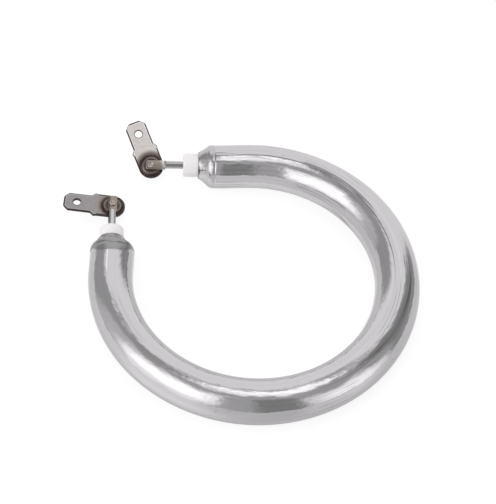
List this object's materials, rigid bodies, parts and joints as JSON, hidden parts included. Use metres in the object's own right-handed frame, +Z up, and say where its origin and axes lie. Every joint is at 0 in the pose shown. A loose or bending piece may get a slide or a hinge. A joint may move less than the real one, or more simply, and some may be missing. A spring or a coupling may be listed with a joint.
{
  "type": "tubular heating element",
  "caption": "Metal-sheathed tubular heating element bent into an open ring, its swaged ends closed by ceramic bushes, with terminal pins riveted to push-on tabs.",
  "frame": {"origin": "centre of the ring, on the plane that the ring lies on", "axes": "+Z up, square to the ring's plane; the left end leaves the bend at -X and points to +Y, the rear end leaves it at +Y and points to -X"},
  "size_m": [0.1042, 0.1031, 0.013],
  "materials": {
    "sheath": "drawn and bright polished stainless",
    "bush": "matt fired steatite",
    "pin": "drawn, nickel plated",
    "tab": "stamped, satin nickel plated",
    "rivet": "upset, plain",
    "seal": "poured silicone",
    "magnesia": "packed powder",
    "wire": "oxidised resistance alloy"
  },
  "bodies": {
    "root": {"sheath_tube": "sheath", "magnesia_filling": "magnesia", "heating_coil": "wire", "ceramic_bush_left": "bush", "end_seal_left": "seal", "terminal_pin_left": "pin", "tab_terminal_left": "tab", "tab_rivet_left": "rivet", "ceramic_bush_rear": "bush", "end_seal_rear": "seal", "terminal_pin_rear": "pin", "tab_terminal_rear": "tab", "tab_rivet_rear": "rivet"}
  },
  "joints": []
}
